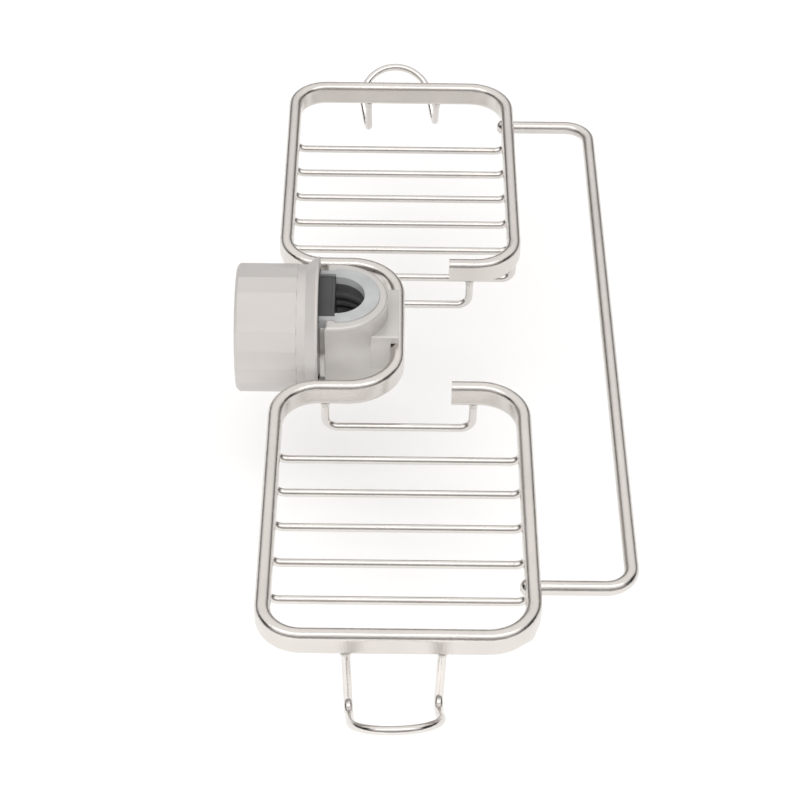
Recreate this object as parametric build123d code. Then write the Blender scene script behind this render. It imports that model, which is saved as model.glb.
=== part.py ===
from build123d import *
import os
from math import cos, pi, radians, sin, tan

os.makedirs("parts", exist_ok=True)

# Shower caddy that clamps on a vertical riser rail. Millimetres.
# The origin is the rail's axis at the strip's mid-height: +X to the towel bar, +Y to the far tray, +Z up.

# strip: one flat-oval bar bent into both trays and the arch between them
STRIP_THICK = 6.1
STRIP_HIGH = 11.2
STRIP_EDGE_R = 2.7
STRIP_UNDER = -STRIP_HIGH / 2
TRAY_MID_X = 28.2
TRAY_HALF = 52.95
INNER_Y = 42.5
OUTER_Y = 186.2
ARCH_X = 27.25
FREE_END_X = 50.7
CORNER_R = 18.5
OUTER_LEFT_R = 15.5
ARCH_CORNER_R = 21.5
LEFT_X = TRAY_MID_X - TRAY_HALF
RIGHT_X = TRAY_MID_X + TRAY_HALF

# wires under the strip
WIRE_R = 1.75
SLATS = 6
SLAT_PITCH = 20.6
SLAT_Z = -20.95
SLAT_BEND_R = 5.0
LOOP_HALF = 32.1
LOOP_Z = -20.4
LOOP_BEND_R = 5.5

# hooks: legs down and outward from the strip, a bend, then a round loop that leans outward and up
HOOK_HALF = 17.4
HOOK_OUT = 9.7
HOOK_DROP = 23.5
HOOK_BEND_R = 5.3
HOOK_REACH = 34.2
HOOK_RISE_DEG = 37.0
HOOK_FAR_X = 29.0
HOOK_FAR_SEAT_HALF = 17.3
HOOK_FAR_YAW = 11.5
HOOK_FAR_ROLL = 2.5
HOOK_NEAR_X = 26.7
HOOK_NEAR_SEAT_HALF = 18.7
HOOK_NEAR_YAW = 4.0
HOOK_NEAR_ROLL = 0.0

# towel bar and its riveted ends
BAR_R = 3.0
BAR_X = 120.8
BAR_Y = 157.2
BAR_BEND_R = 11.0
TENON_R = 1.9
RIVET_R = 3.4
RIVET_HIGH = 2.2

# clamp housing
RAIL_R = 12.55
BODY_R = 22.8
BODY_BACK = -4.6
BODY_HALF_HIGH = 18.8
PAD_HALF = 16.75
PAD_HALF_HIGH = 9.25
PAD_LIP = 3.5
INSERT_R = 18.35
INSERT_SHIFT = 0.8
INSERT_HALF_HIGH = 19.2
INSERT_BACK = -7.4
SEAT_EDGE = -0.4
POCKET_HALF = 17.1
JAW_GAP_HALF = 14.7
LINER_R = 15.2
LINER_GROOVE_R = 14.2
LINER_HALF_HIGH = 15.2
LINER_RIBS = 5
LINER_RIB_PITCH = 4.2
LINER_RIB_HIGH = 1.8

# split threaded barrel, along X
COLLAR_R = 22.4
COLLAR_END = -7.0
BARREL_R = 21.4
BARREL_END = -32.0
SLOT_HALF = 14.9
THREAD_FIT = 0.06
THREAD_PITCH = 2.0
THREAD_DEEP = 0.8
THREAD_FROM = -9.0

# jaw
JAW_HALF = 14.5
JAW_HALF_HIGH = 18.5
JAW_BACK = -9.5
PAD_BACK = -2.0
PAD_FACE = -0.5
STEM_R = 9.0
STEM_END = -34.9
PIVOT_R = 5.0
PIVOT_END = -38.1
WASHER_R = 8.0
WASHER_THICK = 1.0
SCREW_HEAD_R = 5.5
SCREW_HEAD_HIGH = 2.2
SCREW_R = 2.0
SCREW_LONG = 12.0

# knob
KNOB_END = -44.0
KNOB_RIM = -7.6
KNOB_R = 28.3
KNOB_FACETS = 20
FACETS_END = -17.0
SKIRT_START = -13.2
SKIRT_FULL = -8.8
SKIRT_R = 31.8
CORE_R = 25.9
CORE_FRONT = -14.0
NUT_END = -26.0
RELIEF_R = 22.4
WEB_FRONT = -35.0
WEB_BACK = -38.0
RING_R = 26.9
RING_FRONT = -8.4
CAP_R = 23.5
CAP_THICK = 1.9

# screws through the strip into the pad, and through the insert into the housing
PAD_SCREW_Y = 8.5
PAD_SCREW_R = 1.9
PAD_SCREW_TIP = 18.6
PAD_SCREW_HEAD_R = 2.9
INSERT_SCREW_R = 1.25
INSERT_SCREW_HEAD_R = 2.6
INSERT_SCREW_TIP = 21.5


def bent_path(points, radii):
    """Wire through a polyline whose corners are rounded, each to its own radius."""
    pts = [Vector(*p) for p in points]
    edges = []
    start = pts[0]
    for i, r in enumerate(radii):
        corner = pts[i + 1]
        to_last = (pts[i] - corner).normalized()
        to_next = (pts[i + 2] - corner).normalized()
        half = radians(to_last.get_angle(to_next)) / 2
        enter = corner + to_last * (r / tan(half))
        leave = corner + to_next * (r / tan(half))
        middle = corner + (to_last + to_next).normalized() * (r / sin(half) - r)
        if (enter - start).length > 1e-4:
            edges.append(Edge.make_line(start, enter))
        edges.append(Edge.make_three_point_arc(enter, middle, leave))
        start = leave
    if (pts[-1] - start).length > 1e-4:
        edges.append(Edge.make_line(start, pts[-1]))
    return Wire(edges)


def wire_rod(points, radii, r=WIRE_R):
    """Round rod swept along a bent path."""
    way = Vector(*points[1]) - Vector(*points[0])
    section = Plane(origin=points[0], z_dir=way) * Circle(r)
    return sweep(section, path=bent_path(points, radii))


def along_x(r, x0, x1, y=0.0, z=0.0):
    """Cylinder with its axis along X, from x0 to x1."""
    low, high = min(x0, x1), max(x0, x1)
    axis = Plane(origin=(low, y, z), x_dir=(0, 1, 0), z_dir=(1, 0, 0))
    return axis * Cylinder(r, high - low, align=(Align.CENTER, Align.CENTER, Align.MIN))


def cone_x(r0, r1, x0, x1, y=0.0, z=0.0):
    """Cone frustum along X, radius r0 at x0 and r1 at x1, with x1 greater."""
    axis = Plane(origin=(x0, y, z), x_dir=(0, 1, 0), z_dir=(1, 0, 0))
    return axis * Cone(r0, r1, x1 - x0, align=(Align.CENTER, Align.CENTER, Align.MIN))


def block(x0, x1, y_half, z0, z1):
    """Box between two X planes and two Z planes, centred on Y."""
    return Pos((x0 + x1) / 2, 0, (z0 + z1) / 2) * Box(x1 - x0, 2 * y_half, z1 - z0)


def upright(r, z_half, x=0.0):
    """Vertical cylinder centred on the strip's mid-height."""
    return Pos(x, 0, 0) * Cylinder(r, 2 * z_half)


def make_strip():
    corners = [
        (FREE_END_X, INNER_Y, 0),
        (RIGHT_X, INNER_Y, 0),
        (RIGHT_X, OUTER_Y, 0),
        (LEFT_X, OUTER_Y, 0),
        (LEFT_X, INNER_Y, 0),
        (ARCH_X, INNER_Y, 0),
    ]
    mirrored = [(x, -y, z) for x, y, z in reversed(corners)]
    half = [CORNER_R, CORNER_R, OUTER_LEFT_R, CORNER_R, ARCH_CORNER_R]
    radii = half + half[::-1]
    start = Plane(origin=corners[0], x_dir=(0, 1, 0), z_dir=(1, 0, 0))
    section = start * RectangleRounded(STRIP_THICK, STRIP_HIGH, STRIP_EDGE_R)
    strip = sweep(section, path=bent_path(corners + mirrored, radii))
    inner_face = RIGHT_X - STRIP_THICK / 2
    outer_face = RIGHT_X + STRIP_THICK / 2
    for side in (1, -1):
        strip -= along_x(TENON_R, inner_face - 1, outer_face + 1, side * BAR_Y)
        strip -= pad_screw(side, clearance=True)
    return strip


def pad_screw(side, clearance=False):
    face = ARCH_X + STRIP_THICK / 2
    neck = face - 1.6
    y = side * PAD_SCREW_Y
    tip = ARCH_X if clearance else PAD_SCREW_TIP
    end = face + (1.0 if clearance else 0.0)
    shank_from = ARCH_X - STRIP_THICK if clearance else tip
    screw = along_x(PAD_SCREW_R, shank_from, neck + 0.5, y)
    screw += cone_x(PAD_SCREW_R, PAD_SCREW_HEAD_R, neck, face - 0.3, y)
    screw += along_x(PAD_SCREW_HEAD_R, face - 0.3, end, y)
    if not clearance:
        slot = Pos(face, y, 0) * Box(1.6, 4.4, 0.9)
        screw -= slot
    return screw


def make_bar():
    face = RIGHT_X + STRIP_THICK / 2
    inner = RIGHT_X - STRIP_THICK / 2
    bar = wire_rod(
        [(face, BAR_Y, 0), (BAR_X, BAR_Y, 0), (BAR_X, -BAR_Y, 0), (face, -BAR_Y, 0)],
        [BAR_BEND_R, BAR_BEND_R],
        BAR_R,
    )
    for side in (1, -1):
        bar += along_x(TENON_R, inner, face + 0.5, side * BAR_Y)
    return bar


def make_rivets():
    inner = RIGHT_X - STRIP_THICK / 2
    ball_r = (RIVET_R**2 + RIVET_HIGH**2) / (2 * RIVET_HIGH)
    heads = []
    for side in (1, -1):
        ball = Pos(inner - RIVET_HIGH + ball_r, side * BAR_Y, 0) * Sphere(ball_r)
        heads.append(ball & along_x(RIVET_R + 1, inner - RIVET_HIGH - 1, inner, side * BAR_Y))
    return heads


def make_slat(y):
    return wire_rod(
        [
            (LEFT_X, y, STRIP_UNDER),
            (LEFT_X, y, SLAT_Z),
            (RIGHT_X, y, SLAT_Z),
            (RIGHT_X, y, STRIP_UNDER),
        ],
        [SLAT_BEND_R, SLAT_BEND_R],
    )


def make_end_loop(side):
    y = side * INNER_Y
    low, high = TRAY_MID_X - LOOP_HALF, TRAY_MID_X + LOOP_HALF
    return wire_rod(
        [(low, y, STRIP_UNDER), (low, y, LOOP_Z), (high, y, LOOP_Z), (high, y, STRIP_UNDER)],
        [LOOP_BEND_R, LOOP_BEND_R],
    )


def make_hook(side, mid_x, seat_half, yaw, roll):
    """Hook on the outer end at +Y (side 1) or -Y (side -1); its loop is set askew by yaw and roll."""
    top_y = side * OUTER_Y
    foot = Vector(mid_x, top_y + side * HOOK_OUT, STRIP_UNDER - HOOK_DROP)
    across = Vector(HOOK_HALF, 0, 0).rotate(Axis.Y, -roll).rotate(Axis.Z, yaw)
    rise = radians(HOOK_RISE_DEG)
    reach = Vector(0, side * cos(rise), sin(rise)) * HOOK_REACH
    reach = reach.rotate(Axis.Y, -roll).rotate(Axis.Z, yaw)
    points = [
        (mid_x - seat_half, top_y, STRIP_UNDER + 1),
        foot - across,
        foot - across + reach,
        foot + across + reach,
        foot + across,
        (mid_x + seat_half, top_y, STRIP_UNDER + 1),
    ]
    loop_r = HOOK_HALF - 0.02
    hook = wire_rod(points, [HOOK_BEND_R, loop_r, loop_r, HOOK_BEND_R])
    seat = Pos(TRAY_MID_X, top_y, STRIP_UNDER + 5) * Box(100, STRIP_THICK, 10)
    return hook - seat


def insert_outline(z_half):
    """Half bush outline: round in the closed side of the housing, with two flat walls beside the jaw."""
    shape = upright(INSERT_R, z_half, INSERT_SHIFT) & block(SEAT_EDGE, 30, 40, -z_half, z_half)
    shape += block(INSERT_BACK, SEAT_EDGE, POCKET_HALF, -z_half, z_half)
    return shape


def insert_screw():
    head_from = LINER_R + 0.2
    screw = along_x(INSERT_SCREW_R, head_from, INSERT_SCREW_TIP)
    screw += cone_x(INSERT_SCREW_HEAD_R, INSERT_SCREW_R, head_from, head_from + 1.5)
    return screw


def thread_groove(x):
    """Ring with a V section that cuts one groove of the barrel's thread."""
    half = THREAD_PITCH / 2 - 0.3
    r = BARREL_R
    points = [(x - half, 0, r), (x, 0, r - THREAD_DEEP), (x + half, 0, r), (x + half, 0, r + 2), (x - half, 0, r + 2)]
    return revolve(make_face(Polyline(*points, close=True)), Axis.X)


def make_body():
    body = upright(BODY_R, BODY_HALF_HIGH)
    body -= block(-40, 0, 40, -30, 30)
    body += block(BODY_BACK, 0, BODY_R, -BODY_HALF_HIGH, BODY_HALF_HIGH)
    rims = body.faces().filter_by(Axis.Z).edges().filter_by(lambda e: e.length > 5)
    body = fillet(rims, 1.3)
    inner_face = ARCH_X - STRIP_THICK / 2
    pad = block(8, inner_face + PAD_LIP, PAD_HALF, -PAD_HALF_HIGH, PAD_HALF_HIGH)
    pad = fillet(pad.edges().filter_by(Axis.X), 0.8)
    pad -= block(inner_face, inner_face + PAD_LIP + 1, 40, STRIP_UNDER, -STRIP_UNDER)
    body += pad
    barrel = along_x(COLLAR_R, COLLAR_END, BODY_BACK + 0.5)
    barrel += along_x(BARREL_R, BARREL_END + 1.2, COLLAR_END + 1)
    barrel += cone_x(BARREL_R - 1.2, BARREL_R, BARREL_END, BARREL_END + 1.2)
    turns = int((THREAD_FROM - BARREL_END) / THREAD_PITCH)
    for i in range(turns):
        barrel -= thread_groove(THREAD_FROM - i * THREAD_PITCH)
    barrel -= block(-60, 0, SLOT_HALF, -40, 40)
    body += barrel
    body -= insert_outline(40)
    for side in (1, -1):
        body -= along_x(PAD_SCREW_R, PAD_SCREW_TIP, inner_face + 1, side * PAD_SCREW_Y)
    body -= insert_screw()
    return body


def make_insert():
    insert = insert_outline(INSERT_HALF_HIGH)
    insert -= block(-20, SEAT_EDGE, JAW_GAP_HALF, -40, 40)
    insert -= upright(RAIL_R, 40)
    insert -= upright(LINER_R, LINER_HALF_HIGH)
    insert -= insert_screw()
    insert -= along_x(INSERT_SCREW_HEAD_R, LINER_R - 2, LINER_R + 0.2)
    return insert


def make_liner():
    liner = upright(LINER_R, LINER_HALF_HIGH) - upright(LINER_GROOVE_R, 40)
    for i in range(LINER_RIBS):
        z = (i - (LINER_RIBS - 1) / 2) * LINER_RIB_PITCH
        rib = Cylinder(LINER_R, LINER_RIB_HIGH) - Cylinder(RAIL_R, LINER_RIB_HIGH + 2)
        liner += Pos(0, 0, z) * rib
    return liner - block(-40, SEAT_EDGE, 40, -40, 40)


def make_jaw():
    head = block(JAW_BACK, PAD_BACK, JAW_HALF, -JAW_HALF_HIGH, JAW_HALF_HIGH)
    head = fillet(head.edges().filter_by(Axis.X), 1.5)
    key = block(PAD_BACK - 0.01, PAD_BACK + 0.8, JAW_HALF - 4, -JAW_HALF_HIGH + 4, JAW_HALF_HIGH - 4)
    jaw = head + key
    jaw += along_x(STEM_R, STEM_END, JAW_BACK + 0.5)
    jaw += along_x(PIVOT_R, PIVOT_END, STEM_END + 0.5)
    jaw -= along_x(SCREW_R, PIVOT_END - 1, PIVOT_END + SCREW_LONG)
    return jaw


def make_jaw_pad():
    pad = block(PAD_BACK, PAD_FACE, JAW_HALF - 0.2, -JAW_HALF_HIGH + 0.2, JAW_HALF_HIGH - 0.2)
    pad = fillet(pad.edges().filter_by(Axis.X), 1.4)
    pad = fillet(pad.edges().group_by(Axis.X)[-1], 0.5)
    for i in range(LINER_RIBS):
        z = (i - (LINER_RIBS - 1) / 2) * LINER_RIB_PITCH
        pad -= Pos(PAD_FACE, 0, z) * Box(1.0, 2 * JAW_HALF - 5, 1.4)
    key = block(PAD_BACK - 0.5, PAD_BACK + 0.8, JAW_HALF - 4, -JAW_HALF_HIGH + 4, JAW_HALF_HIGH - 4)
    return pad - key


def make_jaw_screw():
    head_from = PIVOT_END - WASHER_THICK
    screw = along_x(SCREW_R, head_from, PIVOT_END + SCREW_LONG)
    head = along_x(SCREW_HEAD_R, head_from - SCREW_HEAD_HIGH, head_from)
    head = fillet(head.edges().group_by(Axis.X)[0], 0.8)
    screw += head
    socket = Plane(origin=(head_from - SCREW_HEAD_HIGH, 0, 0), x_dir=(0, 1, 0), z_dir=(1, 0, 0))
    screw -= extrude(socket * RegularPolygon(2.4, 6), 1.4)
    return screw


def make_jaw_washer():
    return along_x(WASHER_R, PIVOT_END - WASHER_THICK, PIVOT_END) - along_x(
        SCREW_R, PIVOT_END - 5, PIVOT_END + 5
    )


def make_knob_shell():
    facets = Plane(origin=(KNOB_END, 0, 0), x_dir=(0, 0, 1), z_dir=(1, 0, 0))
    corner_r = KNOB_R / cos(pi / KNOB_FACETS)
    grip = extrude(facets * RegularPolygon(corner_r, KNOB_FACETS), FACETS_END - KNOB_END)
    grip = chamfer(grip.edges().group_by(Axis.X)[0], 1.2)
    neck = along_x(KNOB_R, FACETS_END, SKIRT_START)
    skirt = cone_x(KNOB_R, SKIRT_R, SKIRT_START, SKIRT_FULL)
    rim = along_x(SKIRT_R, SKIRT_FULL, KNOB_RIM)
    rim = fillet(rim.edges().group_by(Axis.X)[-1], 0.5)
    shell = grip + neck + skirt + rim
    shell -= along_x(CORE_R, KNOB_END + CAP_THICK, 0)
    shell -= along_x(RING_R, CORE_FRONT, 0)
    shell -= along_x(CAP_R, KNOB_END - 5, 0)
    return shell


def make_knob_core():
    core = along_x(CORE_R, KNOB_END + CAP_THICK, CORE_FRONT)
    core -= along_x(BARREL_R + THREAD_FIT, NUT_END, 0)
    core -= along_x(RELIEF_R, WEB_FRONT, NUT_END)
    core -= along_x(PIVOT_R + THREAD_FIT, -60, 0)
    core -= along_x(CORE_R - 3.0, KNOB_END, WEB_BACK)
    return core


def make_skirt_ring():
    ring = along_x(RING_R, CORE_FRONT, RING_FRONT) - along_x(CORE_R - 0.4, -60, 0)
    return ring


def make_knob_cap():
    cap = along_x(CAP_R, KNOB_END, KNOB_END + CAP_THICK)
    cap = chamfer(cap.edges().group_by(Axis.X)[0], 0.4)
    cap -= along_x(CAP_R - 3, KNOB_END - 1, KNOB_END + 0.5)
    return cap


nodes = {
    "frame_strip": make_strip(),
    "towel_bar": make_bar(),
    "bar_rivet": make_rivets(),
    "end_loop_far": make_end_loop(1),
    "end_loop_near": make_end_loop(-1),
    "hook_far": make_hook(1, HOOK_FAR_X, HOOK_FAR_SEAT_HALF, HOOK_FAR_YAW, HOOK_FAR_ROLL),
    "hook_near": make_hook(-1, HOOK_NEAR_X, HOOK_NEAR_SEAT_HALF, HOOK_NEAR_YAW, HOOK_NEAR_ROLL),
    "clamp_body": make_body(),
    "clamp_insert": make_insert(),
    "bore_liner": make_liner(),
    "pad_screw": [pad_screw(1), pad_screw(-1)],
    "insert_screw": insert_screw(),
    "clamp_jaw": make_jaw(),
    "jaw_pad": make_jaw_pad(),
    "jaw_screw": make_jaw_screw(),
    "jaw_washer": make_jaw_washer(),
    "knob_shell": make_knob_shell(),
    "knob_core": make_knob_core(),
    "skirt_ring": make_skirt_ring(),
    "knob_cap": make_knob_cap(),
}
for i in range(SLATS):
    y = INNER_Y + (i + 1) * SLAT_PITCH
    nodes[f"slat_far_{i + 1}"] = make_slat(y)
    nodes[f"slat_near_{i + 1}"] = make_slat(-y)

for name, shape in nodes.items():
    solids = shape if isinstance(shape, list) else [shape]
    solids = [s for part in solids for s in part.solids()]
    whole = solids[0] if len(solids) == 1 else Compound(children=solids)
    export_step(whole, f"parts/{name}.step")
    box = whole.bounding_box()
    low = [round(v, 1) for v in box.min]
    high = [round(v, 1) for v in box.max]
    print(name, len(solids), "solid(s)", low, high, round(whole.volume))
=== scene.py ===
import math

import bmesh
import bpy
from mathutils import Matrix, Vector


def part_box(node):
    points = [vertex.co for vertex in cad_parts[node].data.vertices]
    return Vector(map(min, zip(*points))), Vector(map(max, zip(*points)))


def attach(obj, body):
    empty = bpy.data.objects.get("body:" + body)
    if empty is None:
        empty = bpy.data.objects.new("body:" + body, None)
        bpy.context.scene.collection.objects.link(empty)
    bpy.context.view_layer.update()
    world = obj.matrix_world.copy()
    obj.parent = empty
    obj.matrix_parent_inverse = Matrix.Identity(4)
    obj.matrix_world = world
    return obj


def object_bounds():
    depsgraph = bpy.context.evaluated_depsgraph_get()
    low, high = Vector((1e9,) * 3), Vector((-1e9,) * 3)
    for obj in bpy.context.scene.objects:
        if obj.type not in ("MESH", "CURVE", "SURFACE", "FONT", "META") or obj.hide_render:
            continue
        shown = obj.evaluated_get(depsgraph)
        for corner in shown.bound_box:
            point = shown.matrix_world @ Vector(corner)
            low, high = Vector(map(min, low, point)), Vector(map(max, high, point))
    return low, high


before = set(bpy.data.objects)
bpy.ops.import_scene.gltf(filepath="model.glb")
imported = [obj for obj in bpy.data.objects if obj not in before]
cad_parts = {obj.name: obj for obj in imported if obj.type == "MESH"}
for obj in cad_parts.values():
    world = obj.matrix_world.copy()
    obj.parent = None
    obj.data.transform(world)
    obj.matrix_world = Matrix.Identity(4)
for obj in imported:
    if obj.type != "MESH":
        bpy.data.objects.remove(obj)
cad_low, cad_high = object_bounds()

MM = 0.001

# ---------------------------------------------------------------- view, light and floor, in metres
CAMERA_AT = Vector((0.0232, -0.7621, 0.6399))
CAMERA_ELEVATION = math.radians(41.84)
CAMERA_AZIMUTH = math.radians(-0.42)
CAMERA_ROLL = math.radians(0.93)
LENS_MM = 100.4
SENSOR_MM = 36.0
VIEW_END = 60.0

FLOOR_GAP = 0.05
FLOOR_GLOW = 0.03
FLOOR_SIZE = 30.0
FLOOR_COLOUR = (0.93, 0.93, 0.93)
BACKDROP_R = 14.0
BACKDROP_HIGH = 14.0
BACKDROP_SIDES = 64
WHITE = (1.0, 1.0, 1.0)

SKY_STRENGTH = 1.12
SKY_LOW = (0.03, 0.028, 0.028)
SKY_HIGH = (1.0, 0.985, 0.975)
SKY_DARK_TO = 0.15
SKY_BRIGHT_FROM = 0.58

LIT_POINT = Vector((0.03, 0, 0))
SOFTBOX_AT = (0.0, -0.42, 1.5)
SOFTBOX_SIZE = (2.4, 0.45)
SOFTBOX_WATTS = 5.0
KEY_AT = (-0.25, -1.6, 0.50)
KEY_SIZE = (1.4, 0.7)
KEY_WATTS = 15.0
FRONT_CARD_AT = (0.0, -1.45, 0.52)
FRONT_CARD_SIZE = (3.0, 1.0)
FRONT_CARD_COLOUR = (1.0, 0.98, 0.97)
FRONT_CARD_STRENGTH = 0.42
FLAG_X = 1.2
FLAG_Y = -0.15
FLAG_Z = 0.42
FLAG_SIZE = (0.8, 0.75)
FLAG_COLOUR = (0.045, 0.045, 0.045)

# ---------------------------------------------------------------- surface detail: noise in features per metre
PATCH_SCALE = 45.0
RIPPLE_SCALE = 150.0
GRAIN_SCALE = 1500.0
FLOW_SCALE = 28.0
PEEL_SCALE = 420.0
FLAKE_SCALE = 2400.0
DRIFT_SCALE = 60.0
SPARK_SCALE = 1900.0
FLOW_STRETCH = (0.35, 1.0, 1.0)
EVEN = (1.0, 1.0, 1.0)
NOISE_LOW = 0.3
NOISE_HIGH = 0.7

# bump strengths with their depths in mm, and the radius in mm that softens a moulding's edges
RIPPLE_BUMP = (0.15, 0.05)
GRAIN_BUMP = (0.6, 0.09)
PEEL_BUMP = (0.10, 0.05)
FLAKE_BUMP = (0.03, 0.02)
SPARK_DEPTH = 0.02
PAINT_EDGE = 0.35
MOULD_EDGE = 0.3
EDGE_SAMPLES = 4

# the painted casting turns to bare metal on the -X side of this face, in metres
NECK_X = -4.65 * MM
NECK_BLEND = 0.05 * MM
BARE_ROUGHNESS = 0.28

# ---------------------------------------------------------------- welds between the wires and the strip, in mm
WIRE_R = 1.75
END_SLICE = 0.3
WELD_SIDES = 24
WELD_CORE = -1.1
WELD_PROFILE = ((-0.03, 2.3), (0.10, 1.8), (0.28, 1.2), (0.55, 0.5), (0.72, -0.1), (0.62, -0.75))
WAVE_LOW = 0.22
WAVE_HIGH = 0.12
BEAD_STEP = 1.7


# ---------------------------------------------------------------- materials
def new_material(name, colour, metallic, roughness):
    """A Principled material; returns it with its node tree and shader."""
    m = bpy.data.materials.new(name)
    m.use_nodes = True
    shader = m.node_tree.nodes["Principled BSDF"]
    shader.inputs["Base Color"].default_value = (*colour, 1.0)
    shader.inputs["Metallic"].default_value = metallic
    shader.inputs["Roughness"].default_value = roughness
    return m, m.node_tree, shader


def noise(tree, scale, detail=2.0, stretch=EVEN, roughness=0.5):
    """Noise in the row frame; scale is in features per metre."""
    place = tree.nodes.new("ShaderNodeTexCoord")
    turn = tree.nodes.new("ShaderNodeMapping")
    turn.inputs["Scale"].default_value = stretch
    tree.links.new(place.outputs["Object"], turn.inputs["Vector"])
    n = tree.nodes.new("ShaderNodeTexNoise")
    n.inputs["Scale"].default_value = scale
    n.inputs["Detail"].default_value = detail
    n.inputs["Roughness"].default_value = roughness
    tree.links.new(turn.outputs["Vector"], n.inputs["Vector"])
    return n.outputs["Fac"]


def ramp(tree, value, low, high, start=NOISE_LOW, end=NOISE_HIGH):
    """Maps a 0 to 1 value to a range of numbers or colours."""
    if isinstance(low, tuple):
        r = tree.nodes.new("ShaderNodeValToRGB")
        r.color_ramp.elements[0].position = start
        r.color_ramp.elements[1].position = end
        r.color_ramp.elements[0].color = (*low, 1.0)
        r.color_ramp.elements[1].color = (*high, 1.0)
        tree.links.new(value, r.inputs["Fac"])
        return r.outputs["Color"]
    r = tree.nodes.new("ShaderNodeMapRange")
    r.inputs["From Min"].default_value = start
    r.inputs["From Max"].default_value = end
    r.inputs["To Min"].default_value = low
    r.inputs["To Max"].default_value = high
    tree.links.new(value, r.inputs["Value"])
    return r.outputs["Result"]


def vary_colour(tree, shader, value, colour, darker, lighter):
    """Drifts the base colour between darker and lighter times its own value."""
    low = tuple(c * darker for c in colour)
    high = tuple(min(1.0, c * lighter) for c in colour)
    tree.links.new(ramp(tree, value, low, high), shader.inputs["Base Color"])


def vary_roughness(tree, shader, value, roughness, smoother, rougher):
    """Drifts the roughness between smoother and rougher times its own value."""
    varied = ramp(tree, value, roughness * smoother, roughness * rougher)
    tree.links.new(varied, shader.inputs["Roughness"])


def bump(tree, shader, layers, edge_mm=0.0):
    """Chains bump layers of (height, strength, depth in mm) over edges softened by edge_mm."""
    last = None
    if edge_mm:
        soft = tree.nodes.new("ShaderNodeBevel")
        soft.samples = EDGE_SAMPLES
        soft.inputs["Radius"].default_value = edge_mm * MM
        last = soft.outputs["Normal"]
    for height, strength, depth_mm in layers:
        b = tree.nodes.new("ShaderNodeBump")
        b.inputs["Strength"].default_value = strength
        b.inputs["Distance"].default_value = depth_mm * MM
        tree.links.new(height, b.inputs["Height"])
        if last is not None:
            tree.links.new(last, b.inputs["Normal"])
        last = b.outputs["Normal"]
    tree.links.new(last, shader.inputs["Normal"])


def layer(height, strength_and_depth, amount):
    """One bump layer, with its strength scaled by amount."""
    strength, depth_mm = strength_and_depth
    return height, strength * amount, depth_mm


def satin_metal(name, colour, roughness, grain=1.0):
    """Pearl-nickel plate: a sparkling fine grain over a slow ripple, with patches a little smoother."""
    m, tree, shader = new_material(name, colour, 1.0, roughness)
    vary_colour(tree, shader, noise(tree, PATCH_SCALE, 3.0), colour, 0.955, 1.03)
    fine = noise(tree, GRAIN_SCALE, 2.0, EVEN, 0.7)
    vary_roughness(tree, shader, fine, roughness, 0.8, 1.25)
    ripple = noise(tree, RIPPLE_SCALE)
    bump(tree, shader, [layer(ripple, RIPPLE_BUMP, grain), layer(fine, GRAIN_BUMP, grain)])
    return m


def satin_paint(name, colour, metallic, roughness, grain=0.5):
    """Silver-grey paint on a moulding: soft flow marks, fine flakes and a faint orange peel."""
    m, tree, shader = new_material(name, colour, metallic, roughness)
    vary_colour(tree, shader, noise(tree, FLOW_SCALE, 4.0, FLOW_STRETCH), colour, 0.94, 1.04)
    flake = noise(tree, FLAKE_SCALE, 1.0)
    vary_roughness(tree, shader, flake, roughness, 0.85, 1.15)
    peel = noise(tree, PEEL_SCALE)
    bump(tree, shader, [layer(peel, PEEL_BUMP, grain), layer(flake, FLAKE_BUMP, grain)], PAINT_EDGE)
    shader.inputs["Coat Weight"].default_value = 0.15
    shader.inputs["Coat Roughness"].default_value = 0.25
    return m


def bare_neck(material, face_x):
    """Strips the part of a painted casting on the -X side of face_x, in metres, to bare metal."""
    tree = material.node_tree
    shader = tree.nodes["Principled BSDF"]
    place = tree.nodes.new("ShaderNodeTexCoord")
    split = tree.nodes.new("ShaderNodeSeparateXYZ")
    tree.links.new(place.outputs["Object"], split.inputs["Vector"])
    bare = ramp(tree, split.outputs["X"], 1.0, 0.0, face_x - NECK_BLEND, face_x)
    for socket, value in (("Metallic", 1.0), ("Roughness", BARE_ROUGHNESS)):
        painted = shader.inputs[socket]
        mix = tree.nodes.new("ShaderNodeMix")
        mix.inputs["B"].default_value = value
        if painted.is_linked:
            tree.links.new(painted.links[0].from_socket, mix.inputs["A"])
        else:
            mix.inputs["A"].default_value = painted.default_value
        tree.links.new(bare, mix.inputs["Factor"])
        tree.links.new(mix.outputs["Result"], painted)


def moulded(name, colour, roughness, texture=0.4):
    """Moulded plastic or rubber: spark-eroded texture and slight colour drift."""
    m, tree, shader = new_material(name, colour, 0.0, roughness)
    vary_colour(tree, shader, noise(tree, DRIFT_SCALE, 3.0), colour, 0.85, 1.15)
    spark = noise(tree, SPARK_SCALE)
    vary_roughness(tree, shader, spark, roughness, 0.85, 1.15)
    bump(tree, shader, [(spark, texture, SPARK_DEPTH)], MOULD_EDGE)
    return m


def glowing(name, colour, strength):
    """A plain emitter for the cards and the backdrop."""
    m = bpy.data.materials.new(name)
    m.use_nodes = True
    m.node_tree.nodes.clear()
    out = m.node_tree.nodes.new("ShaderNodeOutputMaterial")
    glow = m.node_tree.nodes.new("ShaderNodeEmission")
    glow.inputs["Color"].default_value = (*colour, 1.0)
    glow.inputs["Strength"].default_value = strength
    m.node_tree.links.new(glow.outputs["Emission"], out.inputs["Surface"])
    return m


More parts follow.
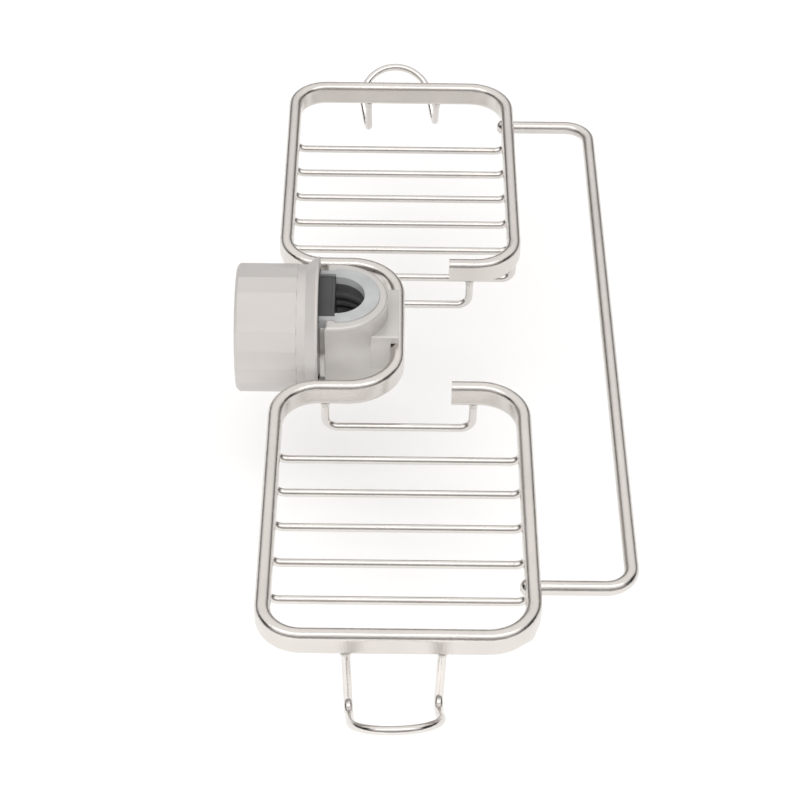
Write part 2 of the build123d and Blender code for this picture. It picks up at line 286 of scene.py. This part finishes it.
STRIP_METAL = satin_metal("satin_nickel", (0.665, 0.632, 0.605), 0.195, 1.5)
WIRE_METAL = satin_metal("wire_nickel", (0.69, 0.66, 0.635), 0.12, 0.8)
WELD_METAL = satin_metal("weld_nickel", (0.66, 0.63, 0.605), 0.26, 3.0)
SCREW_METAL = satin_metal("bright_zinc", (0.62, 0.62, 0.62), 0.3)
CLAMP_PAINT = satin_paint("clamp_paint", (0.54, 0.52, 0.50), 0.4, 0.34, 0.4)
bare_neck(CLAMP_PAINT, NECK_X)
KNOB_PAINT = satin_paint("knob_paint", (0.50, 0.478, 0.462), 0.12, 0.5)
INSERT_PLASTIC = moulded("insert_plastic", (0.43, 0.44, 0.445), 0.42, 0.25)
DARK_PLASTIC = moulded("dark_plastic", (0.055, 0.056, 0.060), 0.4, 0.3)
RUBBER = moulded("dark_rubber", (0.06, 0.06, 0.062), 0.4, 0.4)
LINER_RUBBER = moulded("liner_rubber", (0.15, 0.15, 0.155), 0.34, 0.3)
CORE_PLASTIC = moulded("core_plastic", (0.16, 0.16, 0.16), 0.5)

NODE_MATERIALS = {
    "frame_strip": STRIP_METAL,
    "towel_bar": STRIP_METAL,
    "bar_rivet": WIRE_METAL,
    "end_loop": WIRE_METAL,
    "hook": WIRE_METAL,
    "slat": WIRE_METAL,
    "clamp_body": CLAMP_PAINT,
    "clamp_insert": INSERT_PLASTIC,
    "bore_liner": LINER_RUBBER,
    "pad_screw": SCREW_METAL,
    "insert_screw": SCREW_METAL,
    "clamp_jaw": DARK_PLASTIC,
    "jaw_pad": RUBBER,
    "jaw_screw": SCREW_METAL,
    "jaw_washer": SCREW_METAL,
    "knob_shell": KNOB_PAINT,
    "knob_core": CORE_PLASTIC,
    "skirt_ring": CORE_PLASTIC,
    "knob_cap": KNOB_PAINT,
}


def paint_nodes():
    """Gives each carried-over CAD node its material."""
    for name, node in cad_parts.items():
        family = next(k for k in NODE_MATERIALS if name.startswith(k))
        for material_slot in node.material_slots:
            material_slot.material = NODE_MATERIALS[family]


# ---------------------------------------------------------------- welds
def add_bead(bm, foot, along, wire_r, seed):
    """One closed, slightly uneven weld fillet: a collar round a wire that leaves the strip at foot."""
    turn = along.to_track_quat("Z", "Y")
    rings = []
    for grow, rise in WELD_PROFILE:
        ring = []
        for i in range(WELD_SIDES):
            t = 2 * math.pi * i / WELD_SIDES
            wave = 1 + WAVE_LOW * math.sin(3 * t + seed) + WAVE_HIGH * math.sin(5 * t - 2 * seed)
            r = wire_r + grow * wave
            ring.append(bm.verts.new(foot + turn @ Vector((r * math.cos(t), r * math.sin(t), rise)) * MM))
        rings.append(ring)
    for lower, upper in zip(rings, rings[1:]):
        for i in range(WELD_SIDES):
            j = (i + 1) % WELD_SIDES
            bm.faces.new((lower[i], upper[i], upper[j], lower[j]))
    for ring, rise in ((rings[0], WELD_PROFILE[0][1]), (rings[-1], WELD_CORE)):
        hub = bm.verts.new(foot + turn @ Vector((0, 0, rise)) * MM)
        for i in range(WELD_SIDES):
            bm.faces.new((hub, ring[i], ring[(i + 1) % WELD_SIDES]))


def wire_ends(name):
    """The two points where a bent wire's cut ends meet the strip's underside."""
    low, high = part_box(name)
    middle = (low.x + high.x) / 2
    tops = [v.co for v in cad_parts[name].data.vertices if v.co.z > high.z - END_SLICE * MM]
    for side in (-1, 1):
        end = [co for co in tops if (co.x - middle) * side > 0]
        centre = Vector((sum(co.x for co in end), sum(co.y for co in end), 0)) / len(end)
        yield centre + Vector((0, 0, high.z))


def add_welds():
    """Puts a weld fillet on both ends of every slat, end loop and hook."""
    bm = bmesh.new()
    seed = 0.0
    for name in sorted(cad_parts):
        if name.startswith(("slat", "end_loop", "hook")):
            for foot in wire_ends(name):
                add_bead(bm, foot, Vector((0, 0, -1)), WIRE_R, seed)
                seed += BEAD_STEP
    bmesh.ops.recalc_face_normals(bm, faces=bm.faces)
    mesh = bpy.data.meshes.new("welds")
    bm.to_mesh(mesh)
    bm.free()
    mesh.shade_smooth()
    mesh.materials.append(WELD_METAL)
    welds = bpy.data.objects.new("welds", mesh)
    bpy.context.scene.collection.objects.link(welds)
    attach(welds, "caddy")


# ---------------------------------------------------------------- stage
def add_stage_mesh(name, points, faces, material):
    """A mesh that isn't part of the object."""
    mesh = bpy.data.meshes.new(name)
    mesh.from_pydata(points, [], faces)
    mesh.materials.append(material)
    piece = bpy.data.objects.new(name, mesh)
    bpy.context.scene.collection.objects.link(piece)
    return piece


def rectangle(width, height, z=0.0):
    """The corners of a level rectangle about the Z axis, in order."""
    half_w, half_h = width / 2, height / 2
    return [(-half_w, -half_h, z), (half_w, -half_h, z), (half_w, half_h, z), (-half_w, half_h, z)]


def facing(centre, front):
    """The rotation that turns the front axis at centre towards the object."""
    return (LIT_POINT - Vector(centre)).to_track_quat(front, "Y").to_euler()


def add_floor():
    m, _, shader = new_material("pale_floor", FLOOR_COLOUR, 0.0, 0.9)
    shader.inputs["Specular IOR Level"].default_value = 0.0
    shader.inputs["Emission Color"].default_value = (*WHITE, 1.0)
    shader.inputs["Emission Strength"].default_value = FLOOR_GLOW
    corners = rectangle(FLOOR_SIZE, FLOOR_SIZE, cad_low.z - FLOOR_GAP)
    add_stage_mesh("floor", corners, [(0, 1, 2, 3)], m)


def add_backdrop():
    """A round pale wall that lights nothing and isn't reflected; it hides the sky's dark horizon."""
    foot = cad_low.z - FLOOR_GAP
    points = []
    for z in (foot, foot + BACKDROP_HIGH):
        for i in range(BACKDROP_SIDES):
            t = 2 * math.pi * i / BACKDROP_SIDES
            points.append((BACKDROP_R * math.cos(t), BACKDROP_R * math.sin(t), z))
    faces = []
    for i in range(BACKDROP_SIDES):
        j = (i + 1) % BACKDROP_SIDES
        faces.append((i, j, BACKDROP_SIDES + j, BACKDROP_SIDES + i))
    wall = add_stage_mesh("backdrop", points, faces, glowing("backdrop", WHITE, 1.0))
    wall.visible_diffuse = False
    wall.visible_glossy = False
    wall.visible_transmission = False
    wall.visible_shadow = False


def add_card(name, centre, size, colour, strength):
    """A flat card facing the object, seen only in its reflections: bright, or dark as a flag."""
    card = add_stage_mesh(name, rectangle(*size), [(0, 1, 2, 3)], glowing(name, colour, strength))
    card.location = centre
    card.rotation_euler = facing(centre, "Z")
    card.visible_camera = False
    card.visible_shadow = False
    card.visible_diffuse = False


def add_area(name, centre, size, watts, in_reflections=True):
    """A rectangular lamp that faces the object."""
    data = bpy.data.lights.new(name, "AREA")
    data.shape = "RECTANGLE"
    data.size, data.size_y = size
    data.energy = watts
    lamp = bpy.data.objects.new(name, data)
    bpy.context.scene.collection.objects.link(lamp)
    lamp.location = centre
    lamp.rotation_euler = facing(centre, "-Z")
    lamp.visible_glossy = in_reflections


def add_sky():
    """A pale sky that is dark near the horizon, which draws the dark edges on the plated bars."""
    world = bpy.data.worlds.new("studio")
    bpy.context.scene.world = world
    world.use_nodes = True
    tree = world.node_tree
    back = tree.nodes["Background"]
    back.inputs["Strength"].default_value = SKY_STRENGTH
    way = tree.nodes.new("ShaderNodeTexCoord")
    split = tree.nodes.new("ShaderNodeSeparateXYZ")
    tree.links.new(way.outputs["Generated"], split.inputs["Vector"])
    sky = ramp(tree, split.outputs["Z"], SKY_LOW, SKY_HIGH, SKY_DARK_TO, SKY_BRIGHT_FROM)
    tree.links.new(sky, back.inputs["Color"])


def add_light():
    add_sky()
    add_area("top_softbox", SOFTBOX_AT, SOFTBOX_SIZE, SOFTBOX_WATTS)
    add_area("front_key", KEY_AT, KEY_SIZE, KEY_WATTS, in_reflections=False)
    add_card("camera_side", FRONT_CARD_AT, FRONT_CARD_SIZE, FRONT_CARD_COLOUR, FRONT_CARD_STRENGTH)
    for side in (1, -1):
        add_card("side_flag", (side * FLAG_X, FLAG_Y, FLAG_Z), FLAG_SIZE, FLAG_COLOUR, 1.0)


def add_camera():
    data = bpy.data.cameras.new("camera")
    data.lens = LENS_MM
    data.sensor_width = SENSOR_MM
    data.clip_end = VIEW_END
    camera = bpy.data.objects.new("camera", data)
    bpy.context.scene.collection.objects.link(camera)
    azimuth = Matrix.Rotation(CAMERA_AZIMUTH, 4, "Z")
    tilt = Matrix.Rotation(math.pi / 2 - CAMERA_ELEVATION, 4, "X")
    roll = Matrix.Rotation(CAMERA_ROLL, 4, "Z")
    camera.matrix_world = Matrix.Translation(CAMERA_AT) @ azimuth @ tilt @ roll
    bpy.context.scene.camera = camera


def set_view():
    view = bpy.context.scene.view_settings
    view.view_transform = "Standard"
    view.look = "None"


paint_nodes()
add_welds()
add_floor()
add_backdrop()
add_light()
add_camera()
set_view()
